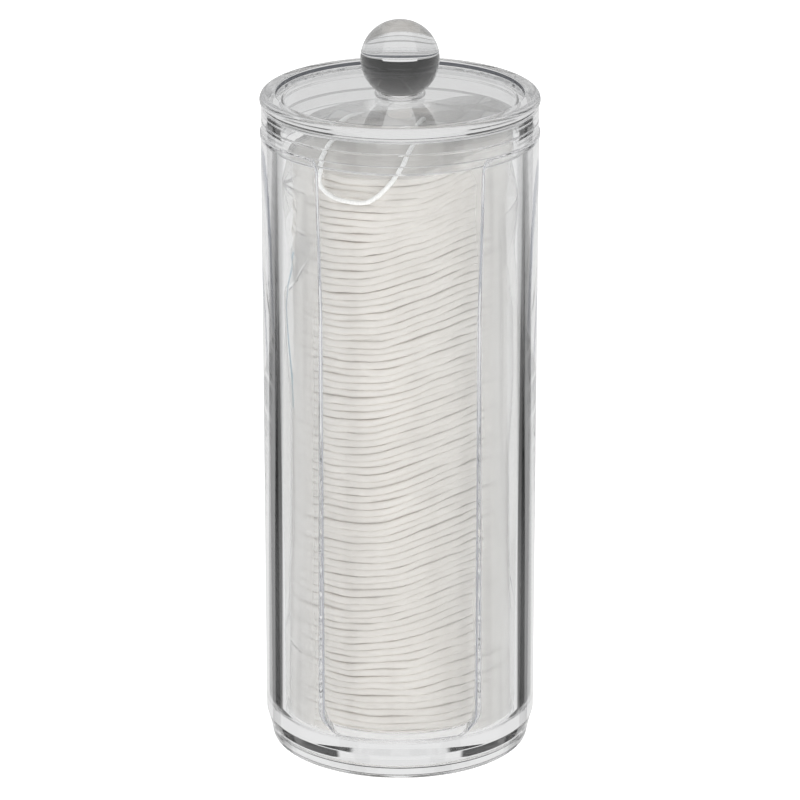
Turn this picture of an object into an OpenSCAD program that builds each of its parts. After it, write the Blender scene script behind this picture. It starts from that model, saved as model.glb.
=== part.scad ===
// Cotton pad dispenser: a clear moulded jar with a front slot, a drop-in lid with a ball knob,
// and a bag of round cotton pads standing in the jar. Millimetres, origin at the centre of the
// foot, +Z up, the slot faces -Y.

/* [Jar] */
// Outside diameter of the jar's wall
jar_d = 70; // [60:0.5:90]
// Height of the jar from the table to its rim
jar_h = 163.4; // [120:0.2:220]
// Wall thickness at the rim
wall_rim = 2.4; // [2:0.1:4]
// Wall thickness at the floor: the core that forms the inside is tapered so that it draws out
wall_floor = 5.6; // [2:0.1:8]
// How far the lip at the rim stands proud of the wall
lip_proud = 0.25; // [0.1:0.05:0.6]
// Radius of the lip's rounded edge
lip_round = 0.6; // [0.4:0.05:1.2]

/* [Base] */
// How far the chamfer steps in from the wall to the top of the foot
chamfer_w = 0.8; // [0.2:0.1:4]
// How much narrower the foot's radius is at the table than at its top
foot_taper = 0.9; // [0:0.1:4]
// Height of the tapered foot
foot_h = 4.5; // [2:0.1:8]
// Height of the chamfer between the foot and the wall
chamfer_h = 2.5; // [1:0.1:5]
// Thickness of the floor
floor_t = 5.5; // [2:0.1:10]
// Radius between the floor and the inside of the wall
floor_round = 1.2; // [0.5:0.1:4]
// Width of the ring that the jar stands on
foot_ring_w = 4.2; // [2:0.1:8]
// Depth of the recess under the base
recess_h = 3; // [1:0.1:4]

/* [Slot] */
// Width of the slot over most of its height
slot_w = 38.4; // [24:0.2:48]
// How much the lead-in below the rim widens the slot on each side
slot_lead = 1.1; // [0:0.1:4]
// Height of the sill between the floor and the slot's lower edge
sill_h = 2.9; // [1:0.1:20]
// Radius of the slot's lower corners
slot_corner = 4.6; // [2:0.1:10]
// Radius of the rounded corners between the slot and the rim
slot_flare = 4; // [1:0.1:8]
// Height of the widening lead-in below the flared corners
lead_h = 36; // [10:1:60]

/* [Lid] */
// How far the lid's straight band lies inside the jar's wall
band_set = 0.15; // [0:0.05:1]
// Height of the lid from its seat on the jar to the top of its bead
lid_h = 9.9; // [8:0.1:16]
// Radius of the rounded bead round the lid's upper edge
bead_round = 1.77; // [1:0.01:3]
// How far the bead stands proud of the band
bead_proud = 0.4; // [0.1:0.05:1]
// Width of the raised rim on top of the lid
lid_rim_w = 4.1; // [3.2:0.1:6]
// Depth of the recess inside the raised rim
lid_recess = 1.3; // [0.5:0.1:2.5]
// Thickness of the lid's plate
plate_t = 2.6; // [2:0.1:4]
// Depth that the plug reaches into the jar
plug_h = 2.9; // [1.5:0.1:6]
// Thickness of the plug's ring
plug_t = 2.4; // [1.5:0.1:4]
// Gap between the plug and the inside of the jar
plug_gap = 0.3; // [0.15:0.05:0.8]
// Gap under the lid where it sits on the rim
seat_gap = 0.05; // [0.02:0.01:0.2]
// Height of the grip groove above the lid's seat
groove_z = 3.25; // [2:0.05:6]
// Radius of the grip groove
groove_round = 0.3; // [0.15:0.05:0.6]

/* [Knob] */
// Diameter of the ball
ball_d = 19.9; // [12:0.1:30]
// Diameter of the collar under the ball
collar_d = 12.8; // [8:0.1:18]
// Height of the collar
collar_h = 1.6; // [0.8:0.1:4]
// How far the ball sinks into its collar
ball_sink = 1.95; // [1.7:0.05:4]
// Diameter of the peg that is cemented into the plate
peg_d = 4; // [2:0.1:6]
// Length of the peg
peg_h = 1.5; // [0.8:0.1:1.8]
// Gap round and under the peg, filled by cement
cement_gap = 0.05; // [0.02:0.01:0.2]

/* [Contents] */
// Thickness of one pressed cotton pad
pad_t = 1.7; // [1.2:0.05:4]
// Space between one pad and the next at the middle of the stack
pad_gap = 0.12; // [0.1:0.01:0.6]
// Lean of the upper pads, right edge up, in degrees
pad_lean = 5; // [0:0.5:6]
// Share of the stack over which the lean builds up
lean_share = 0.6; // [0.5:0.05:1]
// Space between the pads and the film round them
pad_clear = 0.3; // [0.2:0.05:1.5]
// Thickness of the bag's film with its creases pressed flat
film_t = 0.3; // [0.2:0.05:0.6]
// Space between the bag and the narrowest part of the jar
bag_clear = 0.4; // [0.3:0.05:2]
// Height of the soft vertical ripples in the bag's side
ripple = 0.1; // [0.05:0.05:0.4]
// Space between the floor and the bag
bag_lift = 0.2; // [0.1:0.05:1]
// Space between the bag's shoulder and the lid's plug
shoulder_drop = 2.7; // [2.4:0.1:8]
// Rise of the gathered top above the shoulder
gather_h = 4.6; // [3:0.1:8]
// Height of the gathered pleats
pleat = 0.55; // [0.2:0.05:0.8]
// Number of gathered pleats
pleat_count = 12; // [6:1:16]
// Radius of the opening in the middle of the gather
neck_r = 3; // [2:0.1:6]
// Diameter of the drawstring
cord_d = 1.3; // [0.8:0.1:2]

/* [Hidden] */
$fn = 96;
// Overlap that keeps joined outlines and cuts from meeting on a bare edge
eps = 0.01;

// Jar
jar_r = jar_d / 2;
foot_top_r = jar_r - chamfer_w;
foot_r = foot_top_r - foot_taper;
floor_z = recess_h + floor_t;
rim_in_r = jar_r - wall_rim;
floor_in_r = jar_r - wall_floor;
wall_z = foot_h + chamfer_h;
lip_r = jar_r + lip_proud - lip_round;
flare_z = jar_h - slot_flare;
lead_z = flare_z - lead_h;
slot_r = slot_w / 2;
slot_top_r = slot_r + slot_lead;
slot_z = floor_z + sill_h;

// Inside radius of the tapered jar at a height
function jar_in_r(z) = floor_in_r + (rim_in_r - floor_in_r) * (z - floor_z) / (jar_h - floor_z);

// Lid
seat_z = jar_h + seat_gap;
lid_r = jar_r - band_set;
lid_top_z = seat_z + lid_h;
plate_z = lid_top_z - lid_recess;
plug_z = seat_z - plug_h;
plug_r = jar_in_r(plug_z) - plug_gap;
plug_in_r = plug_r - plug_t;
bead_r = lid_r + bead_proud - bead_round;
bead_z = lid_top_z - bead_round;
rim_inner_r = lid_r + bead_proud - lid_rim_w + lid_recess;

// Knob
ball_r = ball_d / 2;
collar_top_z = plate_z + cement_gap + collar_h;
ball_z = collar_top_z - ball_sink + ball_r;

// Contents
bag_r = floor_in_r - bag_clear - ripple;
pad_r = bag_r - ripple - film_t - pad_clear;
bag_z = floor_z + bag_lift;
shoulder_z = plug_z - shoulder_drop;
pad_pitch = pad_t + pad_gap;
stack_z = bag_z + film_t + bag_lift;
stack_top = shoulder_z - film_t - pad_clear - pad_r * sin(pad_lean);
pad_count = floor((stack_top - stack_z) / pad_pitch);

// Lean of pad number i: level at the floor, easing into the full lean higher up
function lean_part(i) = min(1, i / (pad_count * lean_share));
function lean(i) = pad_lean * lean_part(i) * lean_part(i) * (3 - 2 * lean_part(i));

// The drawstring's route: out of the gather, over the shoulder at the front left, down in a
// loop across the slot and back over the shoulder to the gather
cord_route = [
    [-5.5, 3.5, 163.5], [-9, 1, 163.5], [-12.5, -3, 162.8], [-15, -8, 162.3], [-16.8, -13, 161.5],
    [-18, -17.5, 160.6], [-18.8, -20.7, 159.4], [-19.9, -22.9, 157.8], [-19.7, -23.1, 155.8],
    [-18.2, -24, 154.1], [-16.1, -25.5, 153.2], [-13.7, -26.9, 152.8], [-10.7, -27.9, 152.6],
    [-8.2, -28.8, 153], [-5.9, -29.4, 154.4], [-4, -29.7, 156.2], [-2.4, -29.9, 158],
    [-1.2, -29.2, 159.3], [0, -27.6, 160.1], [1.2, -24.5, 160.8], [2.4, -20.5, 161.4],
    [3.6, -16, 162.1], [4.8, -11, 163], [5.8, -5.5, 163.5], [6, -2, 163.5]
];
cord_sides = 8;

// Profile of the jar's outside, with the tapered foot, the chamfer and the lip
module jar_outside() {
    polygon([
        [0, 0], [foot_r, 0], [foot_top_r, foot_h], [jar_r, wall_z],
        [jar_r, jar_h - lip_round], [lip_r, jar_h - lip_round], [lip_r, jar_h], [0, jar_h]
    ]);
    translate([lip_r, jar_h - lip_round]) circle(r = lip_round);
}

// Profile of the space inside the jar, wider towards the rim
module jar_inside() {
    polygon([
        [0, floor_z], [jar_in_r(floor_z) - floor_round, floor_z],
        [jar_in_r(floor_z + floor_round) - floor_round, floor_z + floor_round],
        [jar_in_r(floor_z + floor_round), floor_z + floor_round],
        [jar_in_r(jar_h + eps), jar_h + eps], [0, jar_h + eps]
    ]);
    translate([jar_in_r(floor_z + floor_round) - floor_round, floor_z + floor_round])
        circle(r = floor_round);
}

// Outline of the slot seen from the front: straight sides, rounded lower corners, a lead-in that
// widens upwards and flared corners at the rim
module slot_outline() {
    polygon([
        [-slot_r, slot_z + slot_corner], [slot_r, slot_z + slot_corner], [slot_r, lead_z],
        [slot_top_r, flare_z], [slot_top_r, jar_h + eps],
        [-slot_top_r, jar_h + eps], [-slot_top_r, flare_z], [-slot_r, lead_z]
    ]);
    translate([-slot_r + slot_corner, slot_z])
        square([slot_w - 2 * slot_corner, slot_corner + eps]);
    for (side = [0, 1]) mirror([side, 0]) {
        translate([slot_r - slot_corner, slot_z + slot_corner]) circle(r = slot_corner);
        difference() {
            translate([slot_top_r - eps, flare_z]) square([slot_flare + eps, slot_flare + eps]);
            translate([slot_top_r + slot_flare, flare_z]) circle(r = slot_flare);
        }
    }
}

// Jar: one clear moulding with its foot, its thick base and its slotted wall
module jar() {
    color([0.88, 0.92, 0.94, 0.35])
        difference() {
            rotate_extrude() difference() {
                jar_outside();
                jar_inside();
                translate([-eps, -eps]) square([foot_r - foot_ring_w + eps, recess_h + eps]);
            }
            rotate([90, 0, 0]) linear_extrude(jar_r + lip_proud + eps) slot_outline();
        }
}

// Profile of the lid: plate, band with its bead and raised rim, and the plug below the seat
module lid_profile() {
    difference() {
        union() {
            translate([plug_in_r, seat_z]) square([lid_r - plug_in_r, bead_z - seat_z]);
            translate([plug_in_r, plug_z]) square([plug_t, plug_h + eps]);
            translate([0, plate_z - plate_t]) square([bead_r, plate_t]);
            translate([bead_r, bead_z]) circle(r = bead_round);
            translate([rim_inner_r, plate_z]) circle(r = lid_recess);
            translate([rim_inner_r, plate_z]) square([bead_r - rim_inner_r, lid_recess]);
        }
        translate([lid_r, seat_z + groove_z]) circle(r = groove_round);
    }
}

// Lid: one clear moulding that drops into the jar, with a socket for the knob's peg
module lid() {
    color([0.88, 0.92, 0.94, 0.35])
        difference() {
            rotate_extrude() lid_profile();
            translate([0, 0, plate_z - peg_h - cement_gap])
                cylinder(d = peg_d + 2 * cement_gap, h = peg_h + 2 * cement_gap + eps);
        }
}

// Knob: a solid ball on a round-edged collar, with a peg below
module knob() {
    color([0.9, 0.93, 0.95, 0.4]) {
        rotate_extrude() {
            translate([0, collar_top_z - collar_h])
                square([collar_d / 2 - collar_h / 2, collar_h]);
            translate([collar_d / 2 - collar_h / 2, collar_top_z - collar_h / 2])
                circle(d = collar_h);
            intersection() {
                translate([0, ball_z]) circle(r = ball_r);
                translate([0, collar_top_z - collar_h]) square([ball_r + eps, ball_d + collar_h]);
            }
            translate([0, plate_z + cement_gap - peg_h]) square([peg_d / 2, peg_h + eps]);
        }
    }
}

// One pressed pad with soft rounded edges, centred on its own middle
module pad() {
    rotate_extrude() {
        translate([0, -pad_t / 2]) square([pad_r - pad_t / 2, pad_t]);
        intersection() {
            translate([pad_r - pad_t / 2, 0]) circle(d = pad_t);
            translate([0, -pad_t]) square([pad_r, 2 * pad_t]);
        }
    }
}

// Cotton pads: the whole stack, each pad a solid of its own
module cotton_pads() {
    color([0.95, 0.92, 0.88])
        for (i = [0 : pad_count - 1])
            translate([0, 0, stack_z + pad_pitch * i + pad_t / 2]) rotate([0, -lean(i), 0]) pad();
}

// Film bag: rings of points from the middle of its bottom, up the side, over the gathered
// shoulder to the neck, and back down the inside
bag_segments = 4 * pleat_count;
gather_steps = [1, 0.93, 0.8, 0.62, 0.45, 0.28];

// The bag's lower edge keeps inside the round between floor and wall
bag_corner = 0.7 * floor_round;

// Each ring is [radius, height, share of the side's ripple, share of the pleats]
bag_outer = concat(
    [[bag_r - bag_corner, bag_z, 1, 0], [bag_r, bag_z + bag_corner, 1, 0]],
    [for (s = gather_steps) [bag_r * s, gather_z(s), s, gather_fold(s)]],
    [[neck_r, gather_z(0), 0, 1]]
);
bag_inner = [
    for (i = [len(bag_outer) - 1 : -1 : 0])
        let (ring = bag_outer[i])
            [ring[0] - (i < 3 ? film_t : 0), i == 0 ? bag_z + film_t : ring[1] - (i > 1 ? film_t : 0),
            ring[2], ring[3]]
];
bag_rings = concat(bag_outer, bag_inner);

function gather_z(share) = shoulder_z + gather_h * (1 - share * share);
function gather_fold(share) = share >= 1 ? 0 : sqrt(1 - share);
function bag_point(ring, angle) = let (
        r = ring[0] + ripple * ring[2] * cos(angle * pleat_count),
        z = ring[1] + pleat * ring[3] * cos(angle * pleat_count)
    ) [r * cos(angle), r * sin(angle), z];

module film_bag() {
    ring_count = len(bag_rings);
    points = concat(
        [for (ring = bag_rings, k = [0 : bag_segments - 1]) bag_point(ring, 360 * k / bag_segments)],
        [[0, 0, bag_z], [0, 0, bag_z + film_t]]
    );
    bottom_point = ring_count * bag_segments;
    inner_point = bottom_point + 1;
    last = (ring_count - 1) * bag_segments;
    faces = concat(
        [for (k = [0 : bag_segments - 1]) [bottom_point, (k + 1) % bag_segments, k]],
        tube_faces(ring_count, bag_segments),
        [for (k = [0 : bag_segments - 1]) [inner_point, last + k, last + (k + 1) % bag_segments]]
    );
    color([0.93, 0.94, 0.96, 0.3]) polyhedron(points, [for (f = faces) [f[2], f[1], f[0]]]);
}

// Triangles between rings of points, wound so that a tube faces outwards
function tube_faces(rings, sides) = [
    for (i = [0 : rings - 2], k = [0 : sides - 1], half = [0, 1])
        let (
            a = i * sides + k,
            b = i * sides + (k + 1) % sides,
            c = a + sides,
            d = b + sides
        ) half == 0 ? [a, b, d] : [a, d, c]
];

// Direction of the cord at one of its points, and two directions across it
function unit(v) = v / norm(v);
function cord_along(i) = unit(
    cord_route[min(i + 1, len(cord_route) - 1)] - cord_route[max(i - 1, 0)]
);
function cord_across(i) = unit(cross(cord_along(i), [0.3, -1, 0.2]));
function cord_up(i) = cross(cord_along(i), cord_across(i));

// Drawstring: a round cord swept along its route
module drawstring() {
    count = len(cord_route);
    points = concat(
        [for (i = [0 : count - 1], k = [0 : cord_sides - 1])
            let (a = 360 * k / cord_sides)
                cord_route[i] + cord_d / 2 * (cos(a) * cord_across(i) + sin(a) * cord_up(i))]
    );
    last = (count - 1) * cord_sides;
    faces = concat(
        [[for (k = [cord_sides - 1 : -1 : 0]) k]],
        tube_faces(count, cord_sides),
        [[for (k = [0 : cord_sides - 1]) last + k]]
    );
    color("white") polyhedron(points, [for (f = faces) [for (k = [len(f) - 1 : -1 : 0]) f[k]]]);
}

jar();
lid();
knob();
cotton_pads();
film_bag();
drawstring();
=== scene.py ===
# %% [markdown]
# # Cotton pad dispenser
# A clear moulded jar with a tall slot at its front, a drop-in lid with a ball for a knob, and a
# film bag of round cotton pads that stands inside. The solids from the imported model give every
# place and size. This file gives them their looks: fine meshes for the clear mouldings, soft pads,
# a creased film, a twisted cord, and a small studio with the light that clear plastic needs.

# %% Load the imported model
import math
import bpy
import numpy as np
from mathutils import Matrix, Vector, noise


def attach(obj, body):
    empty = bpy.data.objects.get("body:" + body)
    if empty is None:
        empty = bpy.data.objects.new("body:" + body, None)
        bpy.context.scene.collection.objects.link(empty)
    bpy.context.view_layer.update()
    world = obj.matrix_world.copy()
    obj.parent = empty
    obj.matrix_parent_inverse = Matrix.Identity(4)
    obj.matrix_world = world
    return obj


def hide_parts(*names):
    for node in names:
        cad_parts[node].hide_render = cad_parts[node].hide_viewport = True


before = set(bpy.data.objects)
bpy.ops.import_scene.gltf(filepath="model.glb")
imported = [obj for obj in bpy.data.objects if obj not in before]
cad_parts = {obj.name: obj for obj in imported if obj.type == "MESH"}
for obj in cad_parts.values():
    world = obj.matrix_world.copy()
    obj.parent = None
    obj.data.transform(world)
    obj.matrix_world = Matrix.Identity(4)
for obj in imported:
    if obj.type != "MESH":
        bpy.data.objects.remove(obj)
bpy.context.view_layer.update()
MM = 0.001

# %% [markdown]
# ## Camera
# The picture is taken with a long lens from a little above the jar. A long lens keeps the walls
# nearly parallel, so the camera stands more than a metre away and looks down by about 20 degrees.

# %% Camera
CAMERA_ELEVATION = 19.51
CAMERA_DISTANCE = 1.1
CAMERA_AIM = Vector((0, 0, 91.3 * MM))
CAMERA_LENS = 192.8
SENSOR_WIDTH = 36


def make_camera():
    tilt = math.radians(CAMERA_ELEVATION)
    back = Vector((0, -math.cos(tilt), math.sin(tilt)))
    bpy.ops.object.camera_add(location=CAMERA_AIM + back * CAMERA_DISTANCE)
    camera = bpy.context.object
    camera.name = "photo_camera"
    camera.rotation_euler = (-back).to_track_quat("-Z", "Y").to_euler()
    camera.data.lens = CAMERA_LENS
    camera.data.sensor_width = SENSOR_WIDTH
    camera.data.clip_start = 0.05
    bpy.context.scene.camera = camera
    return camera


print("camera at", [round(v, 3) for v in make_camera().location])

# %% [markdown]
# ## Drawstring
# The bag closes with a thin white cord. Its loop comes out of the gathered top, hangs over the
# bag's shoulder in front of the pads and goes back in. A curve follows the solid's route, a few
# millimetres higher where it lies on the crumpled film. A round section is swept along it, and
# the curve then becomes a mesh, so that the twist can follow the mesh's own UV map.

# %% Drawstring
CORD_DIAMETER = 1.15 * MM
ROUTE_PARTS = 4
CORD_ROUTE = [
    (-5.5, 3.5, 164), (-9, 1, 165), (-12.5, -3, 165.6), (-15, -8, 165.3), (-16.8, -13, 164.3),
    (-18, -17.5, 162.6), (-19, -20.6, 160.4), (-19.9, -22.9, 158), (-19.7, -23.1, 155.8),
    (-18.2, -24, 154.1), (-16.1, -25.5, 153.2), (-13.7, -26.9, 152.8), (-10.7, -27.9, 152.6),
    (-8.2, -28.8, 153), (-5.9, -29.4, 154.4), (-4, -29.7, 156.2), (-2.4, -29.9, 158),
    (-1.2, -29, 159.5), (0, -27.4, 161.2), (1.2, -24.5, 163), (2.4, -20.5, 164.6),
    (3.6, -16, 165.7), (4.8, -11, 166.2), (5.8, -5.5, 165.6), (6, -2, 164.2),
]


def smooth_route(points, parts):
    """A curve through the points, each stretch in so many parts (Catmull and Rom's blend)."""
    p = np.array([points[0], *points, points[-1]], float) * MM
    line = []
    for i in range(1, len(p) - 2):
        for t in np.linspace(0, 1, parts, endpoint=False):
            a = 2 * p[i]
            b = (p[i + 1] - p[i - 1]) * t
            c = (2 * p[i - 1] - 5 * p[i] + 4 * p[i + 1] - p[i + 2]) * t ** 2
            d = (3 * p[i] - p[i - 1] - 3 * p[i + 1] + p[i + 2]) * t ** 3
            line.append((a + b + c + d) / 2)
    line.append(p[-2])
    return np.array(line)


def fresh():
    """Object mode with nothing selected, so that the next operator acts on its own piece."""
    if bpy.context.object and bpy.context.object.mode != "OBJECT":
        bpy.ops.object.mode_set(mode="OBJECT")
    bpy.ops.object.select_all(action="DESELECT")


def make_drawstring():
    fresh()
    line = smooth_route(CORD_ROUTE, ROUTE_PARTS)
    curve = bpy.data.curves.new("drawstring_line", "CURVE")
    curve.dimensions = "3D"
    curve.bevel_depth = CORD_DIAMETER / 2
    curve.bevel_resolution = 3
    curve.use_fill_caps = True
    spline = curve.splines.new("POLY")
    spline.points.add(len(line) - 1)
    spline.points.foreach_set("co", np.column_stack([line, np.ones(len(line))]).ravel())
    piece = bpy.data.objects.new("drawstring_cord", curve)
    bpy.context.collection.objects.link(piece)
    piece.select_set(True)
    bpy.context.view_layer.objects.active = piece
    bpy.ops.object.convert(target="MESH")
    bpy.ops.object.shade_smooth()
    length = float(np.linalg.norm(np.diff(line, axis=0), axis=1).sum())
    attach(piece, "jar")
    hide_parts("drawstring")
    return piece, length


drawstring, cord_length = make_drawstring()
print("drawstring", round(cord_length / MM, 1), "mm long")

# %% [markdown]
# ## Turned outlines
# Jar base, lid, knob, pads and film are all round, so each starts as an outline that is spun. The
# outline is one point that is extruded from corner to corner, and rounded corners are short arcs.
# Spinning in fine steps gives clear plastic the smooth, exact curves that its glints need.

# %% Outline and lathe
ARC_STEP = math.radians(11)


def rounded(corners):
    """Points along corners of (radius, height, rounding) in mm, each rounding an arc."""
    points = []
    for i, corner in enumerate(corners):
        here = Vector(corner[:2])
        if len(corner) < 3:
            points.append(here)
            continue
        back = (Vector(corners[i - 1][:2]) - here).normalized()
        ahead = (Vector(corners[i + 1][:2]) - here).normalized()
        half = back.angle(ahead) / 2
        centre = here + (back + ahead).normalized() * corner[2] / math.sin(half)
        start = here + back * corner[2] / math.tan(half) - centre
        end = here + ahead * corner[2] / math.tan(half) - centre
        first = math.atan2(start.y, start.x)
        turn = (math.atan2(end.y, end.x) - first + math.pi) % (2 * math.pi) - math.pi
        count = max(2, math.ceil(abs(turn) / ARC_STEP))
        for k in range(count + 1):
            a = first + turn * k / count
            points.append(centre + corner[2] * Vector((math.cos(a), math.sin(a))))
    return points


def draw_outline(name, points):
    """One point, extruded in edit mode from place to place. Points are in metres."""
    fresh()
    bpy.ops.mesh.primitive_plane_add(size=MM)
    piece = bpy.context.object
    piece.name = name
    bpy.ops.object.mode_set(mode="EDIT")
    bpy.ops.mesh.select_mode(type="VERT")
    bpy.ops.mesh.select_all(action="SELECT")
    bpy.ops.mesh.merge(type="CENTER")
    bpy.ops.transform.translate(value=points[0])
    for here, there in zip(points, points[1:]):
        bpy.ops.mesh.extrude_region_move(TRANSFORM_OT_translate={"value": there - here})
    return piece


def lathe(name, points, steps):
    """Spin an outline of (radius, height) points in mm round the jar's axis."""
    piece = draw_outline(name, [Vector((p[0], 0, p[1])) * MM for p in points])
    bpy.ops.mesh.select_all(action="SELECT")
    bpy.ops.mesh.spin(steps=steps, angle=2 * math.pi, center=(0, 0, 0), axis=(0, 0, 1))
    bpy.ops.mesh.select_all(action="SELECT")
    bpy.ops.mesh.remove_doubles(threshold=0.0005 * MM)
    bpy.ops.mesh.normals_make_consistent(inside=False)
    bpy.ops.object.mode_set(mode="OBJECT")
    return piece


def points_of(piece):
    """The mesh's points in mm."""
    flat = np.empty(len(piece.data.vertices) * 3)
    piece.data.vertices.foreach_get("co", flat)
    return flat.reshape(-1, 3) / MM


def set_points(piece, points):
    piece.data.vertices.foreach_set("co", (points * MM).ravel())
    piece.data.update()


def smooth_sides(piece, degrees=35):
    """Smooth shading with the large faces ruling the normals, so that walls stay true."""
    fresh()
    piece.select_set(True)
    bpy.context.view_layer.objects.active = piece
    bpy.ops.object.shade_smooth_by_angle(angle=math.radians(degrees))
    piece.modifiers.new("true_walls", "WEIGHTED_NORMAL").keep_sharp = True
    bpy.ops.object.modifier_apply(modifier="true_walls")


def keep_value(piece, name, values):
    """Store one value at each point of a mesh, for the finish to read."""
    kept = piece.data.attributes.new(name, "FLOAT", "POINT")
    kept.data.foreach_set("value", values)


def report(piece):
    triangles = sum(len(p.vertices) - 2 for p in piece.data.polygons)
    print(piece.name, "has", triangles, "triangles")


print("lathe ready")

# %% [markdown]
# ## Lid
# The lid is one clear moulding: a plate that lies in a shallow recess, a raised rim with a rounded
# bead, a band with a fine grip groove, and a plug ring that drops into the jar. All of it is one
# outline, spun once.

# %% Lid
FINE_STEPS = 256
SEAT_Z = 163.45
LID_TOP_Z = 173.35
PLATE_Z = 172.05
PLATE_UNDER_Z = 169.45
RECESS_R = 31.15
BAND_R = 34.85
BEAD_R = 35.25
BEAD_ROUND = 1.77
GROOVE_Z = 166.7
PLUG_R = 32.24
PLUG_IN_R = 29.84
PLUG_Z = 160.55


def bead_arc():
    """The rounded bead, from the top of the rim to where it meets the band."""
    centre = Vector((BEAD_R - BEAD_ROUND, LID_TOP_Z - BEAD_ROUND))
    end = -math.acos((BAND_R - centre.x) / BEAD_ROUND)
    angles = np.linspace(math.pi / 2, end, 16)
    return [centre + BEAD_ROUND * Vector((math.cos(a), math.sin(a))) for a in angles]


def make_lid():
    rim = rounded([
        (0, PLATE_Z), (RECESS_R, PLATE_Z, 0.3), (RECESS_R, LID_TOP_Z, 0.45), (BEAD_R, LID_TOP_Z),
    ])
    below = rounded([
        (BAND_R, GROOVE_Z + 1), (BAND_R, GROOVE_Z + 0.3), (BAND_R - 0.3, GROOVE_Z, 0.12),
        (BAND_R, GROOVE_Z - 0.3), (BAND_R, SEAT_Z, 0.35), (PLUG_R, SEAT_Z, 0.25),
        (PLUG_R, PLUG_Z, 0.5), (PLUG_IN_R, PLUG_Z, 0.5), (PLUG_IN_R, PLATE_UNDER_Z, 0.9),
        (0, PLATE_UNDER_Z),
    ])
    piece = lathe("lid_moulding", [*rim[:-1], *bead_arc(), *below], FINE_STEPS)
    smooth_sides(piece)
    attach(piece, "lid")
    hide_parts("lid")
    report(piece)
    return piece


lid = make_lid()

# %% [markdown]
# ## Knob
# A solid clear ball on a low round-edged collar. A solid ball of plastic turns the picture behind
# it upside down, as a lens does, so its outline has to be a true circle in small steps.

# %% Knob
KNOB_STEPS = 128
BALL_RINGS = 56
KNOB_Z = 172.1
NECK_R = 5.75
COLLAR_R = 6.4
COLLAR_TOP_Z = 173.7
BALL_R = 9.95
BALL_Z = 181.7


def make_knob():
    seam = -math.acos(NECK_R / BALL_R)
    ball = [
        Vector((BALL_R * math.cos(a), BALL_Z + BALL_R * math.sin(a)))
        for a in np.linspace(seam, math.pi / 2, BALL_RINGS)
    ]
    ball[-1].x = 0
    collar = rounded([(0, KNOB_Z), (COLLAR_R, KNOB_Z, 0.75), (COLLAR_R, COLLAR_TOP_Z, 0.65), ball[0]])
    piece = lathe("knob_ball", [*collar, *ball[1:]], KNOB_STEPS)
    smooth_sides(piece)
    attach(piece, "lid")
    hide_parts("knob")
    report(piece)
    return piece


knob = make_knob()

# %% [markdown]
# ## Jar
# The jar is one thick clear moulding with a slot that is open at the rim. A slot that is cut with
# a boolean leaves ragged edges that show in clear plastic. So the wall starts flat, as a sheet
# with the slot in its outline. Flat, its edges bevel cleanly. The sheet is then cut into narrow
# columns and rolled round the jar's axis. The base is spun and merges with the wall.

# %% Jar wall, drawn flat
JAR_R = 35
JAR_TOP = 163.4
FLOOR_Z = 8.5
FLOOR_ROUND = 1.2
WALL_LOW = FLOOR_Z + FLOOR_ROUND
FLAT_T = 3.6
HALF_TURN = math.pi * JAR_R
SLOT_R = 19.2
SLOT_TOP_R = 20.3
SLOT_Z = 11.4
SILL_ROUND = 4.6
LEAD_Z = 123.4
LEAD_ROUND = 200
FLARE_ROUND = 4
FLARE_RUN = 8
EDGE_ROUND = 0.25


def round_jar(x):
    """Length along the wall from the front to a point that stands x to the side."""
    return JAR_R * math.asin(x / JAR_R)


def slot_corners(side):
    """The slot's edge from the rim down to its sill."""
    edge, top, rim = (round_jar(v) for v in (SLOT_R, SLOT_TOP_R, SLOT_TOP_R + FLARE_RUN))
    return [
        (side * rim, JAR_TOP), (side * top, JAR_TOP, FLARE_ROUND), (side * edge, LEAD_Z, LEAD_ROUND),
        (side * edge, SLOT_Z, SILL_ROUND),
    ]


def flat_wall():
    corners = [(-HALF_TURN, WALL_LOW), (HALF_TURN, WALL_LOW), (HALF_TURN, JAR_TOP)]
    corners += slot_corners(1) + slot_corners(-1)[::-1] + [(-HALF_TURN, JAR_TOP)]
    outline = [Vector((p[0], 0, p[1])) * MM for p in rounded(corners)]
    piece = draw_outline("jar_moulding", outline)
    bpy.ops.mesh.select_all(action="SELECT")
    bpy.ops.mesh.edge_face_add()
    thick = {"value": (0, FLAT_T * MM, 0)}
    bpy.ops.mesh.extrude_region_move(TRANSFORM_OT_translate=thick)
    bpy.ops.object.mode_set(mode="OBJECT")
    return piece


def choose(piece, mode, wanted):
    """Select faces or edges whose points, in mm, pass a test, and go to edit mode."""
    bpy.ops.object.mode_set(mode="EDIT")
    bpy.ops.mesh.select_mode(type=mode)
    bpy.ops.mesh.select_all(action="DESELECT")
    bpy.ops.object.mode_set(mode="OBJECT")
    points = points_of(piece)
    for part in piece.data.polygons if mode == "FACE" else piece.data.edges:
        part.select = bool(wanted(points[list(part.vertices)]))
    bpy.ops.object.mode_set(mode="EDIT")


def all_at(values, place):
    return np.abs(values - place).max() < 0.001


def open_end(p):
    """The two ends that meet at the back, and the lower edge that meets the base."""
    return all_at(np.abs(p[:, 0]), HALF_TURN) or all_at(p[:, 2], WALL_LOW)


jar = flat_wall()
choose(jar, "FACE", open_end)
bpy.ops.mesh.delete(type="ONLY_FACE")
choose(jar, "EDGE", lambda p: np.ptp(p[:, 1]) < 0.001 and not open_end(p))
bpy.ops.mesh.bevel(offset=EDGE_ROUND * MM, segments=4, affect="EDGES", clamp_overlap=False)
bpy.ops.object.mode_set(mode="OBJECT")
print("flat wall with", len(jar.data.polygons), "faces")

# %% Jar wall, cut into columns and rolled
FLOOR_CUTS = (10.2, 10.9)
LIP_LOW = 162.2
LIP_STEP = 0.25
LIP_PROUD = 0.25
IN_FLOOR_R = 29.4
IN_RIM_R = 32.6


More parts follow.
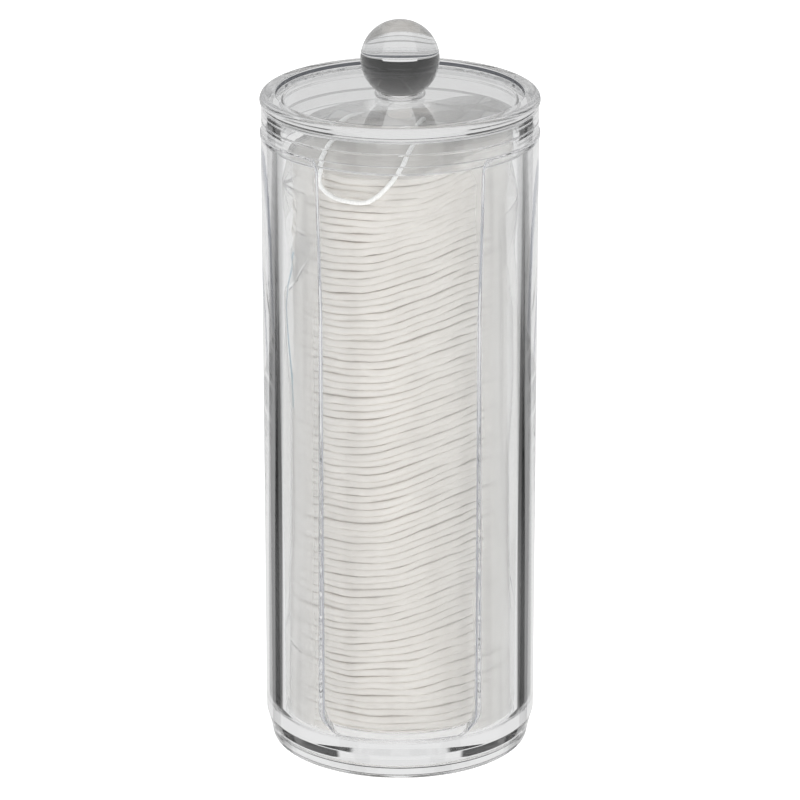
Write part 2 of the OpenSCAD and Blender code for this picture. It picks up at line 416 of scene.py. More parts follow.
def cut_across(place, axis):
    bpy.ops.mesh.select_all(action="SELECT")
    bpy.ops.mesh.bisect(plane_co=place, plane_no=axis, use_fill=False)


def inside_radius(z):
    return IN_FLOOR_R + (IN_RIM_R - IN_FLOOR_R) * (z - FLOOR_Z) / (JAR_TOP - FLOOR_Z)


def ease(low, high, v):
    t = np.clip((v - low) / (high - low), 0, 1)
    return t * t * (3 - 2 * t)


def roll_up(points):
    """From the flat sheet to the jar: along becomes angle, depth becomes radius."""
    along, depth, z = points[:, 0], points[:, 1] / FLAT_T, points[:, 2]
    angle = along / JAR_R
    outside = JAR_R + LIP_PROUD * ease(LIP_LOW - LIP_STEP, LIP_LOW + LIP_STEP, z)
    inside = inside_radius(z)
    outer_edge = math.asin(SLOT_R / JAR_R)
    inner_edge = np.arcsin(SLOT_R / inside)
    squeeze = (math.pi - inner_edge) / (math.pi - outer_edge)
    inner_angle = np.sign(angle) * (math.pi - (math.pi - np.abs(angle)) * squeeze)
    near_slot = ease(WALL_LOW, SLOT_Z - 0.4, z) * depth * ease(0, 0.2, np.abs(angle))
    angle = angle + (inner_angle - angle) * near_slot
    radius = outside + (inside - outside) * depth
    return np.column_stack([radius * np.sin(angle), -radius * np.cos(angle), z])


bpy.ops.object.mode_set(mode="EDIT")
for k in range(1, FINE_STEPS):
    cut_across(((2 * k / FINE_STEPS - 1) * HALF_TURN * MM, 0, 0), (1, 0, 0))
for z in [*FLOOR_CUTS, *np.linspace(LIP_LOW - LIP_STEP, LIP_LOW + LIP_STEP, 5)]:
    cut_across((0, 0, z * MM), (0, 0, 1))
# The slot's edge gets a dull finish of its own, with painted dark grey, on the outer third of the
# wall's depth
cut_across((0, FLAT_T / 3 * MM, 0), (0, 1, 0))
bpy.ops.object.mode_set(mode="OBJECT")
set_points(jar, roll_up(points_of(jar)))
print("rolled wall with", len(jar.data.polygons), "faces")

# %% Jar base, spun and merged with the wall
def make_base():
    below = rounded([
        (0, 3), (29.1, 3, 0.9), (29.1, 0, 0.5), (33.3, 0, 0.7), (34.2, 4.5, 0.6), (JAR_R, 7, 1.2),
        (JAR_R, WALL_LOW),
    ])
    centre = Vector((inside_radius(WALL_LOW) - FLOOR_ROUND, WALL_LOW))
    corner = [
        centre + FLOOR_ROUND * Vector((math.cos(a), math.sin(a)))
        for a in np.linspace(0, -math.pi / 2, 8)
    ]
    lower = lathe("jar_base", below, FINE_STEPS)
    upper = lathe("jar_floor", [*corner, Vector((0, corner[-1].y))], FINE_STEPS)
    return lower, upper


lower, upper = make_base()
fresh()
for part in (lower, upper, jar):
    part.select_set(True)
bpy.context.view_layer.objects.active = jar
bpy.ops.object.join()
bpy.ops.object.mode_set(mode="EDIT")
bpy.ops.mesh.select_all(action="SELECT")
bpy.ops.mesh.remove_doubles(threshold=0.01 * MM)
bpy.ops.mesh.delete_loose()
bpy.ops.mesh.select_all(action="SELECT")
bpy.ops.mesh.normals_make_consistent(inside=False)
bpy.ops.mesh.select_all(action="DESELECT")
bpy.ops.mesh.select_mode(type="VERT")
bpy.ops.mesh.select_non_manifold()
bpy.ops.object.mode_set(mode="OBJECT")
print("open or doubled points in the jar:", sum(v.select for v in jar.data.vertices))
smooth_sides(jar)
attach(jar, "jar")
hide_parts("jar")
report(jar)

# %% [markdown]
# ## Cotton pads
# Round pressed pads, one on another. One pad is spun with a soft round edge, an array stacks it,
# and a formula then moves the points: the upper pads are bent so that their right side stands
# higher, each edge wanders a little, and pads nearby wander alike, as a soft stack does.

# %% Cotton pads
PAD_R = 28.2
PAD_PITCH = 1.86
PAD_HALF = 0.49 * PAD_PITCH
PAD_COUNT = 81
PAD_LOW_Z = 9.2 + PAD_HALF
PAD_EDGE = 0.15
PAD_STEPS = 112
PAD_GROW = 0.45
PAD_SHRINK = 0.25
PAD_WAVE = 0.6
PAD_RIPPLE = 0.3
PAD_SKIP = 0.12
PAD_DROOP = 0.7
BEND_RISE = 10
BEND_MIDDLE = 3.5
BEND_WIDTH = 6.8
BEND_DROP = 2.6
BEND_FULL = 34
TOP_PADS = 12
TOP_MIDDLE = 9
TOP_NARROW = 2.5
TOP_LOWER = 4
TOP_LIFT = 1.4


def wander(a, height, scale, seed):
    """A smooth wave round the pad that changes slowly from pad to pad."""
    around = (np.cos(a) * PAD_R / scale, np.sin(a) * PAD_R / scale)
    return np.array([
        noise.noise(Vector((x, y, h)) + Vector((seed, 0, 0)))
        for x, y, h in zip(*around, height)
    ])


def bend(x, number):
    """How far a pad is lifted at x: level at the left, rising to the right, flatter at the top."""
    top = ease(PAD_COUNT - TOP_PADS, PAD_COUNT - 2, number)
    middle = BEND_MIDDLE + TOP_MIDDLE * top
    width = BEND_WIDTH - TOP_NARROW * top
    rise = BEND_RISE - TOP_LOWER * top
    return rise / (1 + np.exp(-(x - middle) / width)) - BEND_DROP + TOP_LIFT * top


def settle_pads(points):
    """Bend, wander and soften the straight stack."""
    x, y, z = points.T
    number = np.rint((z - PAD_LOW_Z) / PAD_PITCH)
    radius = np.hypot(x, y)
    angle = np.arctan2(y, x)
    share = radius / PAD_R
    shift = 0.3 * np.sin(number * 2.4) + 0.2 * np.sin(number * 1.1 + 2)
    grow = PAD_GROW * wander(angle, number * 0.8, 9, 3) - PAD_SHRINK
    lift = PAD_WAVE * wander(angle, number * 0.12, 11, 7)
    lift = lift + PAD_RIPPLE * wander(angle, number * 0.7, 5, 11)
    lift = lift + PAD_SKIP * np.sin(number * 2.1) * np.sin(number * 0.37)
    bent = bend(x, number) * (0.92 + 0.08 * np.sin(number * 0.21))
    z = z + bent * ease(PAD_LOW_Z, PAD_LOW_Z + BEND_FULL, z)
    z = z + lift * share ** 2 * ease(0, 3, number)
    z = z - PAD_DROOP * share ** 4 * ease(PAD_COUNT - 5, PAD_COUNT - 1, number)
    scale = 1 + grow * share ** 3 / PAD_R
    return np.column_stack([x * scale + shift * 0.4, y * scale + shift * 0.25, z])


def make_pads():
    round_edge = [
        (PAD_R - PAD_EDGE * (1 - math.cos(a)), PAD_HALF * a / (math.pi / 2))
        for a in np.linspace(math.pi / 2, -math.pi / 2, 7)
    ]
    edge = [(0, PAD_HALF), (14, PAD_HALF), (26, PAD_HALF), *round_edge, (26, -PAD_HALF), (0, -PAD_HALF)]
    piece = lathe("cotton_pad_stack", [(r, z + PAD_LOW_Z) for r, z in edge], PAD_STEPS)
    stack = piece.modifiers.new("stack", "ARRAY")
    stack.count = PAD_COUNT
    stack.use_relative_offset = False
    stack.use_constant_offset = True
    stack.constant_offset_displace = (0, 0, PAD_PITCH * MM)
    bpy.ops.object.modifier_apply(modifier="stack")
    straight = points_of(piece)
    from_middle = (straight[:, 2] - PAD_LOW_Z + PAD_PITCH / 2) % PAD_PITCH - PAD_PITCH / 2
    # The gaps between pads are painted darker as shade, fainter on the right, where the film over them
    # is hazier
    shown = 0.85 - 0.65 * ease(-4, 16, straight[:, 0])
    keep_value(piece, "groove", ease(0.35, 1, np.abs(from_middle) / PAD_HALF) * shown)
    set_points(piece, settle_pads(straight))
    bpy.ops.object.shade_smooth()
    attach(piece, "jar")
    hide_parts("cotton_pads")
    report(piece)
    return piece


pads = make_pads()

# %% [markdown]
# ## Film bag
# The pads come in a bag of thin clear film. It clings to the stack, stands off it in stiff folds
# that reach the jar's wall, and is gathered and crumpled under the lid. A spun sleeve in fine rings
# is the start. Film creases and doesn't stretch, so a fold is a tent of flat facets round one peak,
# and the crumpled top is cut by straight creases. The mesh keeps values for the finish: how hazy
# each patch is and how much painted grey stands in for dark reflections on it, where a crease is
# drawn dark as painted shade or with a painted highlight, and a thin coloured edge.

# %% Folds in the film
BAG_R = 28.75
BAG_LOW_Z = 8.95
BAG_SHOULDER_Z = 156.5
FOOT_FOLDS_Z = 42
FOLDS_LOW_Z = 116
BAG_TOP_Z = 165.2
WALL_ROOM = 0.25
# Each tent: degrees from the front, height, lift, and its facets as (direction, reach) pairs
TENTS = [
    (-91, 150, 2.9, ((0, 13), (52, 8), (120, 9), (180, 14), (232, 24), (285, 22), (325, 26))),
    (-84, 121, 1.6, ((8, 8), (85, 11), (170, 12), (250, 24), (295, 28))),
    (-93, 62, 5.0, ((0, 10), (88, 66), (180, 11), (270, 60))),
    (-86, 25, 2.4, ((0, 9), (62, 13), (125, 10), (180, 12), (245, 11), (310, 15))),
    (88, 147, 2.6, ((0, 15), (55, 10), (130, 9), (185, 11), (228, 20), (290, 34))),
    (80, 112, 1.2, ((0, 12), (90, 20), (180, 9), (240, 30), (300, 26))),
    (86, 27, 2.6, ((0, 12), (55, 12), (118, 14), (180, 9), (230, 16), (295, 12))),
    (93, 74, 5.0, ((0, 10), (92, 78), (180, 11), (270, 72))),
    (-14, 22, 0.32, ((10, 9), (80, 6), (160, 8), (215, 5), (290, 7))),
    (140, 122, 2.0, ((0, 14), (75, 22), (150, 16), (215, 20), (290, 30))),
    (-138, 96, 1.6, ((0, 16), (70, 24), (165, 14), (250, 34), (310, 22))),
    (178, 52, 1.0, ((0, 14), (80, 26), (180, 14), (255, 22), (300, 20))),
    (112, 60, 0.8, ((0, 9), (88, 30), (180, 9), (268, 28))),
    (-110, 62, 0.7, ((0, 9), (92, 28), (180, 9), (272, 26))),
]


def tent(along, z, place, lift, facets):
    """Lift off the sleeve round one peak, as flat facets."""
    side, up = along - place[0], z - place[1]
    planes = [
        1 - (side * math.cos(math.radians(turn)) + up * math.sin(math.radians(turn))) / reach
        for turn, reach in facets
    ]
    return lift * np.clip(np.min(planes, axis=0), 0, None)


def fold_side(angle, z):
    """All the tents together."""
    along = angle * BAG_R
    lift = np.zeros(len(z))
    for degrees, height, rise, facets in TENTS:
        place = (math.radians(degrees) * BAG_R, height)
        for turn in (-1, 0, 1):
            shifted = along + turn * 2 * math.pi * BAG_R
            lift = np.maximum(lift, tent(shifted, z, place, rise, facets))
    return lift


print(len(TENTS), "tents in the film")

# %% Patches, creases and stripe of the film
# Each patch: corners as (degrees from the front, height), then its haze and its painted reflection grey
PATCHES = [
    (((-90, 157), (-73, 158), (-51, 158), (-46, 152), (-84, 150)), 0.5, 0.15),
    (((-90, 150), (-63, 149), (-62, 141), (-69, 135), (-90, 139)), 0.3, 0.0),
    (((-69, 135), (-62, 141), (-49, 141), (-49, 135), (-62, 128), (-73, 124)), 0.62, 0.5),
    (((-112, 141), (-90, 139), (-69, 135), (-75, 125), (-84, 121), (-112, 119)), 0.03, 0.0),
    (((88, 148), (76, 157), (58, 157), (58, 143.5)), 0.5, 0.15),
    (((88, 148), (58, 143.5), (64, 130)), 0.6, 0.35),
    (((88, 148), (64, 130), (82, 118)), 0.5, 0.1),
    (((67, 54), (95, 62), (95, 28), (79, 31)), 0.56, 0.42),
    (((79, 31), (95, 28), (95, 8), (72, 13)), 0.54, 0.36),
    (((-95, 44), (-80, 42), (-76, 33), (-71, 14), (-95, 10)), 0.56, 0.4),
]
# Lines drawn on the film in painted shade, each with a line of painted highlight just above it
SHADED_CREASES = [
    ((-84, 150.3), (-46, 152.2)), ((-84, 150.3), (-62, 149)), ((-84, 150.3), (-64, 143)),
    ((-84, 150.3), (-63, 154)), ((-84, 150.3), (-73, 158)), ((-84, 150.3), (-51, 158)),
    ((-86, 150), (-88, 139)), ((-88, 139), (-69, 135)), ((-69, 135), (-62, 141)),
    ((-69, 135), (-75, 125)), ((-75, 125), (-86, 121)), ((-88, 120), (-73, 124)),
    ((-73, 124), (-62, 128)), ((-62, 128), (-49, 135.5)), ((-62, 141), (-49, 141)),
    ((88, 148), (58, 143.5)), ((88, 148), (76, 157)), ((88, 148), (64, 130)), ((88, 148), (82, 118)),
    ((-66, 30), (-50, 28.2)), ((-76, 33), (-71, 14)), ((67, 54), (79, 31)), ((79, 31), (72, 13)),
    ((-138, 96), (-160, 118)), ((-138, 96), (-112, 104)), ((-138, 96), (-146, 60)),
    ((-138, 96), (-118, 76)), ((140, 122), (162, 136)), ((140, 122), (118, 131)),
    ((140, 122), (150, 92)), ((140, 122), (122, 104)),
]
# Lines of painted highlight on the film
GLINTS = [
    ((-68, 90), (-65, 60)), ((-65, 60), (-74, 41)), ((-74, 41), (-76, 33)), ((-76, 33), (-66, 30)),
    ((82, 156), (84, 138)),
]
STRIPE = [(-66.6, 134.7), (-75, 125), (-76.7, 119), (-70.4, 109.7), (-65.6, 101.6), (-65.4, 94)]
CREASE_TAPER = 0.32
GLINT_ABOVE = 0.8
FAR = 9.0
SLOT_HAZE = 0.1
SIDE_HAZE = 0.52
BACK_HAZE = 0.36
SIDE_PAINTED_REFLECTION = 0.2


def inside(turn, z, corners):
    """Which places lie inside a patch with no hollow side."""
    sides = []
    for (t0, z0), (t1, z1) in zip(corners, corners[1:] + corners[:1]):
        sides.append((t1 - t0) * (z - z0) - (z1 - z0) * (turn - t0))
    return (np.min(sides, axis=0) >= 0) | (np.max(sides, axis=0) <= 0)


def line_gap(turn, z, lines, taper=0.0):
    """Distance in mm to the nearest of some lines on the film, which can thin out to their ends."""
    here = np.column_stack([np.radians(turn) * BAG_R, z])
    gap = np.full(len(z), FAR)
    for start, end in lines:
        a = np.array([math.radians(start[0]) * BAG_R, start[1]])
        b = np.array([math.radians(end[0]) * BAG_R, end[1]])
        share = np.clip((here - a) @ (b - a) / ((b - a) @ (b - a)), 0, 1)
        reach = np.linalg.norm(here - a - share[:, None] * (b - a), axis=1)
        gap = np.minimum(gap, reach + taper * share ** 2)
    return gap


def film_marks(x, y, z):
    """The film's side at each point: haze, painted reflection grey, and gaps to creases drawn in
    painted shade, to painted glints and to the stripe.
    """
    turn = np.degrees(np.arctan2(x, -y))
    slot = SLOT_HAZE * (1 + ease(-10, 14, x))
    haze = np.where(y < 0, slot + (SIDE_HAZE - slot) * ease(15, 25, np.abs(x)), BACK_HAZE)
    haze = haze + 0.04 * np.sin(turn * 0.09 + z * 0.11) * np.sin(z * 0.07 - turn * 0.05)
    # Soft upright bands of painted reflection grey over the film's sides
    bands = np.sin(turn * 0.42 + z * 0.015) * np.sin(turn * 0.19 - z * 0.03)
    painted_reflection = SIDE_PAINTED_REFLECTION * (1 + ease(0, 1, bands))
    for corners, veil, patch_reflection in PATCHES:
        here = inside(turn, z, corners)
        haze[here] = veil
        painted_reflection[here] = patch_reflection
    crease_shade = line_gap(turn, z, SHADED_CREASES, CREASE_TAPER)
    beside = line_gap(turn, z - GLINT_ABOVE, SHADED_CREASES, CREASE_TAPER)
    glint = np.minimum(beside, line_gap(turn, z, GLINTS))
    return haze, painted_reflection, crease_shade, glint, line_gap(turn, z, zip(STRIPE, STRIPE[1:]))


print(len(PATCHES), "patches and", len(SHADED_CREASES), "creases")

# %% Crumpled top of the film
TOP_CREASES = 17
TOP_RISE = 2.6
TOP_LIMIT_Z = 168.6
CRUMPLE_SEED = 5
FRONT_HAZE = 0.4


def crumple(x, y):
    """Flat facets between straight creases: height, gap to a crease, and tone of each facet, which sets
    its haze and its painted reflection grey.
    """
    rng = np.random.default_rng(CRUMPLE_SEED)
    height = np.zeros_like(x)
    crease_shade = np.full_like(x, FAR)
    facet = np.zeros_like(x)
    for _ in range(TOP_CREASES):
        turn, shift = rng.uniform(0, math.pi), rng.uniform(-24, 24)
        across = x * math.cos(turn) + y * math.sin(turn) - shift
        height += np.abs(across) * rng.choice((-1, 1))
        crease_shade = np.minimum(crease_shade, np.abs(across))
        facet += np.where(across > 0, rng.uniform(-1, 1), 0)
    height -= height.mean()
    tone = np.sin(facet * 5) * 0.5 + 0.5
    return TOP_RISE * height / np.abs(height).max(), crease_shade, tone


def top_marks(x, y, lines, tone):
    """The crumpled top's haze, painted reflection grey and gap to a crease drawn in painted shade. It
    is clearest at the back rim.
    """
    radius = np.hypot(x, y)
    clear = ease(13, 23, y) * ease(16, 24, radius) * np.where(x > 0, 0.4, 0.9)
    front = ease(-3, -12, y)
    behind = ease(10, 6, np.abs(x)) * ease(0, 4, y)
    haze = (0.58 + 0.24 * ease(0.25, 0.8, tone)) * (1 - clear) * (1 - front) + FRONT_HAZE * front
    haze = haze * (1 - 0.85 * behind)
    painted_reflection = (0.95 - 0.4 * ease(0.1, 0.8, tone)) * (1 - front) * (1 - behind)
    return haze, painted_reflection, lines + 0.15 * ease(2, 8, y) + 4 * front + 4 * ease(10, 7, radius)


def drape_film(points):
    """Fold the sleeve, crumple its top, and keep it off the pads and inside the jar."""
    x, y, z = points.T
    angle = np.arctan2(x, -y)
    radius = np.hypot(x, y)
    top = ease(BAG_SHOULDER_Z - 1, BAG_SHOULDER_Z + 2, z)
    side = ease(BAG_LOW_Z, BAG_LOW_Z + 3, z) * (radius > 20)
    lift = fold_side(angle, z)
    soft = 0.16 * np.sin(angle * 9 + 0.05 * z) * np.sin(z * 0.045 + 1.3 * angle)
    room = np.where(z < PLUG_Z - 1, inside_radius(z), PLUG_IN_R) - WALL_ROOM
    full = np.minimum(radius + (lift * (1 - 0.9 * top) + soft * (1 - top)) * side, room)
    grow = np.where(radius > 20, full / np.maximum(radius, 0.001), 1)
    creased, lines, tone = crumple(x, y)
    pad_top = PAD_LOW_Z + PAD_PITCH * PAD_COUNT + bend(x, PAD_COUNT)
    domed = np.clip(np.maximum(z + creased * ease(29, 24, radius), pad_top), None, TOP_LIMIT_Z)
    haze, painted_reflection, crease_shade, glint, stripe = film_marks(x, y, z)
    top_haze, top_painted_reflection, top_crease_shade = top_marks(x, y, lines, tone)
    marks = {
        "haze": haze + (top_haze - haze) * top,
        "painted_reflection": painted_reflection + (top_painted_reflection - painted_reflection) * top,
        "crease_shade": crease_shade + (top_crease_shade - crease_shade) * top,
        "glint": glint + (top_crease_shade + 0.5 - glint) * top,
        "stripe": stripe + FAR * top,
    }
    return np.column_stack([x * grow, y * grow, z + (domed - z) * top]), marks


# %% Film bag
FILM_STEPS = 360
FOOT_RINGS = 56
PLAIN_RINGS = 50
FOLDED_RINGS = 106
TOP_RINGS = 56


def make_film():
    foot = np.linspace(BAG_LOW_Z + 1, FOOT_FOLDS_Z, FOOT_RINGS, endpoint=False)
    plain = np.linspace(FOOT_FOLDS_Z, FOLDS_LOW_Z, PLAIN_RINGS, endpoint=False)
    folded = np.linspace(FOLDS_LOW_Z, BAG_SHOULDER_Z - 1, FOLDED_RINGS)
    side = [(BAG_R, z) for z in (*foot, *plain, *folded)]
    dome = [
        (3 + (BAG_R - 3.2) * math.cos(a), BAG_SHOULDER_Z + (BAG_TOP_Z - BAG_SHOULDER_Z) * math.sin(a))
        for a in np.linspace(0.05, math.pi / 2, TOP_RINGS)
    ]
    bottom = [(0, BAG_LOW_Z), (14, BAG_LOW_Z), (BAG_R - 0.8, BAG_LOW_Z)]
    piece = lathe("film_sleeve", [*bottom, *side, *dome], FILM_STEPS)
    points, marks = drape_film(points_of(piece))
    set_points(piece, points)
    for name, values in marks.items():
        keep_value(piece, name, values)
    smooth_sides(piece, 12)
    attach(piece, "jar")
    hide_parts("film_bag")
    report(piece)
    return piece


film = make_film()

# %% [markdown]
# ## Shader helpers
# A shader is a net of small nodes. A few helpers keep it readable: one adds a node with its values
# and links, and others do sums, map ranges and lay one colour over another.

# %% Shader helpers
def put(tree, kind, settings=None, **sockets):
    """Add a node. A socket given a value is set, one given another node's output is linked."""
    made = tree.nodes.new(kind)
    for key, value in (settings or {}).items():
        setattr(made, key, value)
    for key, value in sockets.items():
        name = int(key[1:]) if key[1:].isdigit() else key.replace("_", " ")
        if isinstance(value, bpy.types.NodeSocket):
            tree.links.new(value, made.inputs[name])
        else:
            made.inputs[name].default_value = value
    return made


def calc(tree, operation, *values):
    """A Math node's result."""
    inputs = {f"i{k}": v for k, v in enumerate(values)}
    return put(tree, "ShaderNodeMath", {"operation": operation}, **inputs).outputs[0]


def grade(tree, value, low, high, out_low=0.0, out_high=1.0):
    """Map a value smoothly from one range to another, held at the ends."""
    return put(
        tree, "ShaderNodeMapRange", {"interpolation_type": "SMOOTHSTEP"}, i0=value, i1=low, i2=high,
        i3=out_low, i4=out_high,
    ).outputs[0]


def tint(tree, base, mask, colour):
    """Lay a colour over a base, which is a colour or another node's output, by a mask."""
    settings = {"data_type": "RGBA"}
    return put(tree, "ShaderNodeMix", settings, Factor=mask, i6=base, i7=colour).outputs[2]


def blank_material(name):
    material = bpy.data.materials.new(name)
    material.use_nodes = True
    material.node_tree.nodes.clear()
    return material, material.node_tree


def new_group(name, inputs, outputs):
    """An empty node group with named sockets, and its two end nodes."""
    group = bpy.data.node_groups.new(name, "ShaderNodeTree")
    for direction, sockets in (("INPUT", inputs), ("OUTPUT", outputs)):
        for label, (kind, value) in sockets.items():
            socket = group.interface.new_socket(name=label, in_out=direction, socket_type=kind)
            if value is not None:
                socket.default_value = value
    return group, group.nodes.new("NodeGroupInput"), group.nodes.new("NodeGroupOutput")


def dress(piece, material):
    piece.data.materials.clear()
    piece.data.materials.append(material)


FLOAT, VECTOR = "NodeSocketFloat", "NodeSocketVector"
print("shader helpers ready")

# %% [markdown]
# ## Fine grain
# Every surface here has a fine unevenness: the faint ripple of a moulding, cotton fibre, the cord's
# fuzz. One group gives it as a value for roughness and a normal, and each material sets its scale.

# %% Fine grain group
def make_grain():
    group, start, end = new_group(
        "fine_grain",
        {"Scale": (FLOAT, 100.0), "Stretch": (VECTOR, (1, 1, 1)), "Height": (FLOAT, 0.1),
         "Distance": (FLOAT, 0.0002)},
        {"Value": (FLOAT, None), "Normal": (VECTOR, None)},
    )
    place = put(group, "ShaderNodeTexCoord").outputs["Object"]
    put_at = put(group, "ShaderNodeVectorMath", {"operation": "MULTIPLY"}, i0=place,
                 i1=start.outputs["Stretch"]).outputs[0]
    grain = put(group, "ShaderNodeTexNoise", Vector=put_at, Scale=start.outputs["Scale"],
                Detail=4.0, Roughness=0.6).outputs[0]
    bump = put(group, "ShaderNodeBump", Height=grain, Strength=start.outputs["Height"],
               Distance=start.outputs["Distance"])
    group.links.new(grain, end.inputs["Value"])
    group.links.new(bump.outputs["Normal"], end.inputs["Normal"])
    return group


GRAIN = make_grain()
print("made", GRAIN.name)

# %% [markdown]
# ## Clear plastic
# Clear polystyrene bends light more than window glass does. Lamps shine through it, so shadow rays
# and the light between the pads go straight through, which also keeps the render clean.

# %% Clear plastic
def make_clear_plastic():
    material, tree = blank_material("clear_plastic")
    grain = put(tree, "ShaderNodeGroup", {"node_tree": GRAIN}, Scale=25.0, Height=0.004)
    plastic = put(
        tree, "ShaderNodeBsdfPrincipled", Base_Color=(0.995, 0.998, 1.0, 1), IOR=1.57,
        Transmission_Weight=1.0, Roughness=0.0, Normal=grain.outputs["Normal"],
    )
    clear = put(tree, "ShaderNodeBsdfTransparent", Color=(0.98, 0.985, 0.99, 1))
    path = put(tree, "ShaderNodeLightPath").outputs
    straight = calc(tree, "MAXIMUM", path["Is Shadow Ray"], path["Is Diffuse Ray"])
    both = put(tree, "ShaderNodeMixShader", i0=straight, i1=plastic.outputs[0], i2=clear.outputs[0])
    put(tree, "ShaderNodeOutputMaterial", Surface=both.outputs[0])
    return material


clear_plastic = make_clear_plastic()
for piece in (jar, lid, knob):
    dress(piece, clear_plastic)
print("clear plastic on jar, lid and knob")

# %% [markdown]
# ## Dull edges with painted dark lines
# Broad faces are polished by the mould. The slot's edge is formed by a slide, and the wall of the
# lid's recess by an insert, and both are a little dull. Their colour is also painted dark grey,
# standing in for the dark lines that bent and mirrored light draws along them. That is a second
# material on just those faces.

# %% Dull edges with painted dark lines
def make_dull_dark_edge(name, colour):
    material, tree = blank_material(name)
    grain = put(tree, "ShaderNodeGroup", {"node_tree": GRAIN}, Scale=500.0, Height=0.1)
    dull = put(
        tree, "ShaderNodeBsdfPrincipled", Base_Color=colour, IOR=1.57,
        Roughness=grade(tree, grain.outputs["Value"], 0.3, 0.7, 0.25, 0.5),
        Transmission_Weight=0.3, Normal=grain.outputs["Normal"],
    )
    put(tree, "ShaderNodeOutputMaterial", Surface=dull.outputs[0])
    return material


def on_slot_edge(face):
    """The outer third of the slot's two upright edges and their lower corners."""
    x, y, z = face.center / MM
    third = (2 * JAR_R + inside_radius(z)) / 3
    upright = abs(face.normal.y) < 0.3 and abs(face.normal.z) < 0.8
    return upright and y < 0 and abs(x) < SLOT_TOP_R + 0.5 and z > SLOT_Z and math.hypot(x, y) > third


def on_recess_wall(face):
    """The upright wall round the lid's plate."""
    x, y, z = face.center / MM
    return abs(math.hypot(x, y) - RECESS_R) < 0.05 and z > PLATE_Z


def dull_dark_faces(piece, material, wanted):
    piece.data.materials.append(material)
    chosen = [face for face in piece.data.polygons if wanted(face)]
    for face in chosen:
        face.material_index = 1
    print(material.name, "on", len(chosen), "faces of", piece.name)


# Painted dark lines: mid grey on the slot's edge, near black on the wall round the lid's plate
dull_dark_faces(jar, make_dull_dark_edge("slot_edge_painted_dark", (0.40, 0.42, 0.47, 1)), on_slot_edge)
dull_dark_faces(lid, make_dull_dark_edge("recess_edge_painted_dark", (0.10, 0.105, 0.12, 1)), on_recess_wall)

# %% [markdown]
# ## Cotton
# Pressed cotton is warm white and matt, with fine fibres that lie along the edge of each pad and
# a soft sheen. The gaps between the pads get painted shade, a darker warm brown.

# %% Cotton
def make_cotton():
    material, tree = blank_material("cotton")
    fine = put(tree, "ShaderNodeGroup", {"node_tree": GRAIN}, Scale=900.0, Stretch=(1, 1, 2.2),
               Height=0.35, Distance=0.0004)
    broad = put(tree, "ShaderNodeGroup", {"node_tree": GRAIN}, Scale=60.0)
    patch = calc(tree, "ADD", calc(tree, "MULTIPLY", fine.outputs["Value"], 0.4),
                 calc(tree, "MULTIPLY", broad.outputs["Value"], 0.6))
    groove = put(tree, "ShaderNodeAttribute", {"attribute_name": "groove"}).outputs["Fac"]
    groove_shade_mix = calc(tree, "MULTIPLY", groove, grade(tree, patch, 0.42, 0.6, 0.1, 0.4))
    fibre = grade(tree, patch, 0.35, 0.65)
    colour = tint(tree, (0.68, 0.655, 0.62, 1), fibre, (0.75, 0.73, 0.695, 1))
    # Painted shade: the gaps between the pads are tinted a darker warm brown
    colour = tint(tree, colour, groove_shade_mix, (0.52, 0.44, 0.375, 1))
    cotton = put(
        tree, "ShaderNodeBsdfPrincipled", Base_Color=colour, Roughness=0.95,
        Sheen_Weight=0.3, Sheen_Roughness=0.5, Normal=fine.outputs["Normal"],
    )
    put(tree, "ShaderNodeOutputMaterial", Surface=cotton.outputs[0])
    return material


dress(pads, make_cotton())
print("cotton on", pads.name)

# %% [markdown]
# ## Film
# Thin film is a veil over what lies behind it. The mesh says how hazy it is at each point, how much
# painted grey stands in for dark reflections, and how far the nearest crease, glint or stripe is, and
# the finish draws them at their width: creases in painted shade, glints as painted highlights. Seen
# along its surface the film turns milkier, and darker by painted reflection. One edge carries a faint
# coloured stripe.

# %% Film
LINE_STRENGTH = 0.62
MOST_HAZE = 0.92


def make_film_finish():
    material, tree = blank_material("film")
    grain = put(tree, "ShaderNodeGroup", {"node_tree": GRAIN}, Scale=160.0, Height=0.2,
                Distance=0.0006)
    facing = put(tree, "ShaderNodeLayerWeight", Blend=0.35).outputs["Facing"]
    haze, painted_reflection, crease_shade, glint, stripe = (
        put(tree, "ShaderNodeAttribute", {"attribute_name": name}).outputs["Fac"]
        for name in ("haze", "painted_reflection", "crease_shade", "glint", "stripe")
    )
    # Creases are drawn in painted shade, glints as painted highlights
    crease_shade = grade(tree, crease_shade, 0.12, 0.45, 1.0, 0.0)
    glint = grade(tree, glint, 0.12, 0.5, 0.8, 0.0)
    # Painted reflection grey, darker still where the film is seen along its surface
    painted_reflection = calc(tree, "ADD", painted_reflection, grade(tree, facing, 0.55, 0.95, 0.0, 0.5))
    stripe = grade(tree, stripe, 0.3, 0.55, 1.0, 0.0)
    colour = tint(tree, (0.88, 0.87, 0.85, 1), painted_reflection, (0.30, 0.295, 0.29, 1))
    colour = tint(tree, colour, glint, (0.95, 0.95, 0.95, 1))
    colour = tint(tree, colour, crease_shade, (0.2, 0.2, 0.205, 1))
    colour = tint(tree, colour, stripe, (0.10, 0.26, 0.35, 1))
    lines = calc(tree, "MAXIMUM", calc(tree, "MAXIMUM", crease_shade, glint), stripe)
    along = calc(tree, "MULTIPLY", calc(tree, "POWER", facing, 3.0), 0.1)
    veil = calc(tree, "ADD", haze, along)
    alpha = calc(tree, "MAXIMUM", veil, calc(tree, "MULTIPLY", lines, LINE_STRENGTH))
    sheet = put(
        tree, "ShaderNodeBsdfPrincipled", Base_Color=colour, Roughness=0.15,
        IOR=1.5, Normal=grain.outputs["Normal"], Alpha=calc(tree, "MINIMUM", alpha, MOST_HAZE),
    )
    put(tree, "ShaderNodeOutputMaterial", Surface=sheet.outputs[0])
    return material


